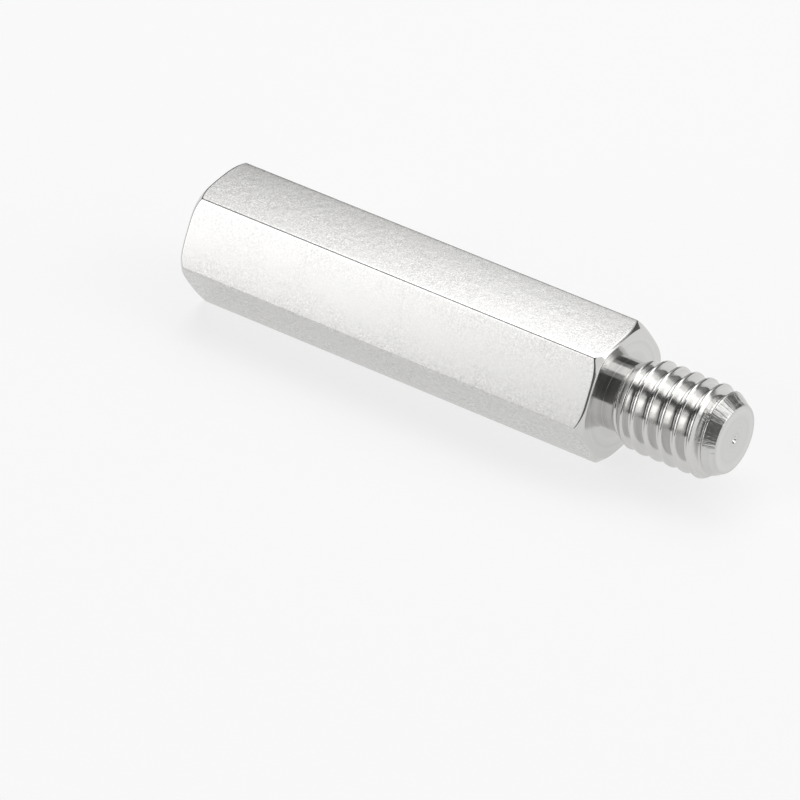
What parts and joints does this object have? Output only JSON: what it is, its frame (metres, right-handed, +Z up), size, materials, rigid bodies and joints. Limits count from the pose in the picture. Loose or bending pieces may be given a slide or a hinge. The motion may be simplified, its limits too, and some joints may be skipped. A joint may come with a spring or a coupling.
{
  "type": "hex standoff",
  "caption": "Male-female hexagonal standoff: a threaded stud at one end and a tapped hole at the other, to hold two boards or panels apart.",
  "frame": {"origin": "centre of the standoff's footprint, on the surface that one flat of the hexagon rests on", "axes": "+X along the standoff's axis, from the tapped hole towards the stud; +Z up, square to the flat that it rests on"},
  "size_m": [0.038, 0.0092, 0.008],
  "materials": {
    "plated_steel": "nickel-plated steel: satin flats with a very fine grain, bright turned ends and stud"
  },
  "bodies": {
    "root": {"standoff": "plated_steel"}
  },
  "joints": []
}
